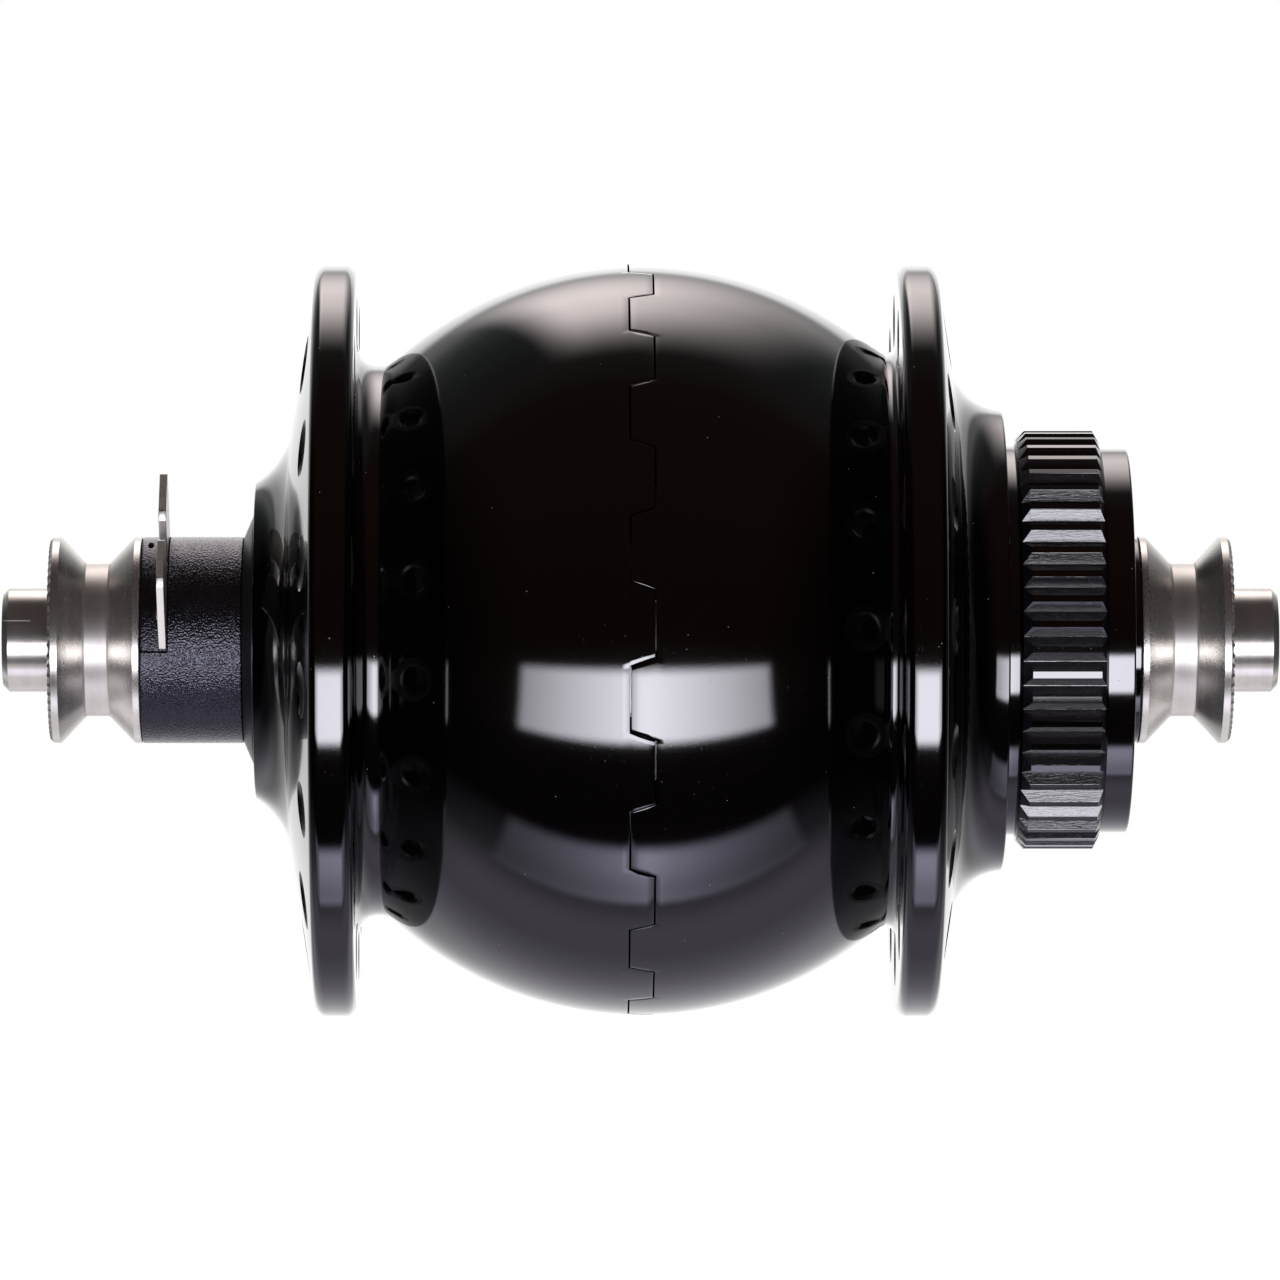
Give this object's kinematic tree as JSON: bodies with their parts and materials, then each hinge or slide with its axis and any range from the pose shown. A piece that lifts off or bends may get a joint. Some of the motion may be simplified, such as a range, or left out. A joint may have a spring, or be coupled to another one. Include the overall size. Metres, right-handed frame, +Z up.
{
  "type": "bicycle hub dynamo",
  "caption": "Front bicycle hub with a generator inside: a polished black ball-shaped shell with two drilled spoke flanges, a splined disc-brake seat, turned end caps and two push-on terminals.",
  "frame": {"origin": "on the axle, midway between the two faces that the fork clamps", "axes": "+X along the axle towards the brake disc, -X towards the terminals, +Z up, -Y to the front"},
  "size_m": [0.108, 0.064, 0.064],
  "materials": {
    "axle_steel": "turned steel, bright",
    "turned_steel": "turned stainless steel",
    "grained_plastic": "matt black, fine leather grain",
    "smooth_plastic": "satin black",
    "tinned_tab": "tinned brass, bright",
    "seal_rubber": "black rubber, satin",
    "black_spacer": "black anodised, polished",
    "stator_iron": "soft iron, oiled",
    "bobbin_plastic": "natural nylon",
    "copper_winding": "enamelled copper wire",
    "lead_red": "red insulation",
    "lead_blue": "blue insulation",
    "spring_steel": "phosphated spring steel",
    "bearing_steel": "ground bearing steel",
    "black_anodised": "polished, black anodised",
    "ring_steel": "turned mild steel",
    "magnet": "coated magnet",
    "cage_nylon": "nylon"
  },
  "bodies": {
    "axle_set": {"axle": "axle_steel", "left_end_cap": "turned_steel", "right_end_cap": "turned_steel", "connector_sleeve": "grained_plastic", "terminal_saddle": "smooth_plastic", "front_terminal_tab": "tinned_tab", "rear_terminal_tab": "tinned_tab", "left_dust_seal": "seal_rubber", "right_spacer": "black_spacer", "stator_core": "stator_iron", "left_claw_plate": "stator_iron", "right_claw_plate": "stator_iron", "coil_bobbin": "bobbin_plastic", "coil": "copper_winding", "front_coil_lead": "lead_red", "rear_coil_lead": "lead_blue", "stator_circlip": "spring_steel", "left_inner_race": "bearing_steel", "right_inner_race": "bearing_steel"},
    "hub_shell": {"left_shell": "black_anodised", "right_shell": "black_anodised", "flux_ring": "ring_steel", "magnets": "magnet", "left_outer_race": "bearing_steel", "right_outer_race": "bearing_steel", "left_bearing_seals": "seal_rubber", "right_bearing_seals": "seal_rubber", "left_bearing_circlip": "spring_steel", "right_bearing_circlip": "spring_steel"},
    "left_ball_set": {"left_ball_cage": "cage_nylon", "left_balls": "bearing_steel"},
    "right_ball_set": {"right_ball_cage": "cage_nylon", "right_balls": "bearing_steel"}
  },
  "joints": [
    {"name": "hub_spin", "type": "hinge", "parent": "axle_set", "child": "hub_shell", "pos_m": [0, 0, 0], "axis": [1, 0, 0], "continuous": true},
    {"name": "left_balls_spin", "type": "hinge", "parent": "axle_set", "child": "left_ball_set", "pos_m": [-0.02845, 0, 0], "axis": [1, 0, 0], "continuous": true},
    {"name": "right_balls_spin", "type": "hinge", "parent": "axle_set", "child": "right_ball_set", "pos_m": [0.0301, 0, 0], "axis": [1, 0, 0], "continuous": true}
  ],
  "couplings": [
    {"joint": "left_balls_spin", "follows": "hub_spin", "ratio": 0.5972},
    {"joint": "right_balls_spin", "follows": "hub_spin", "ratio": 0.619}
  ]
}
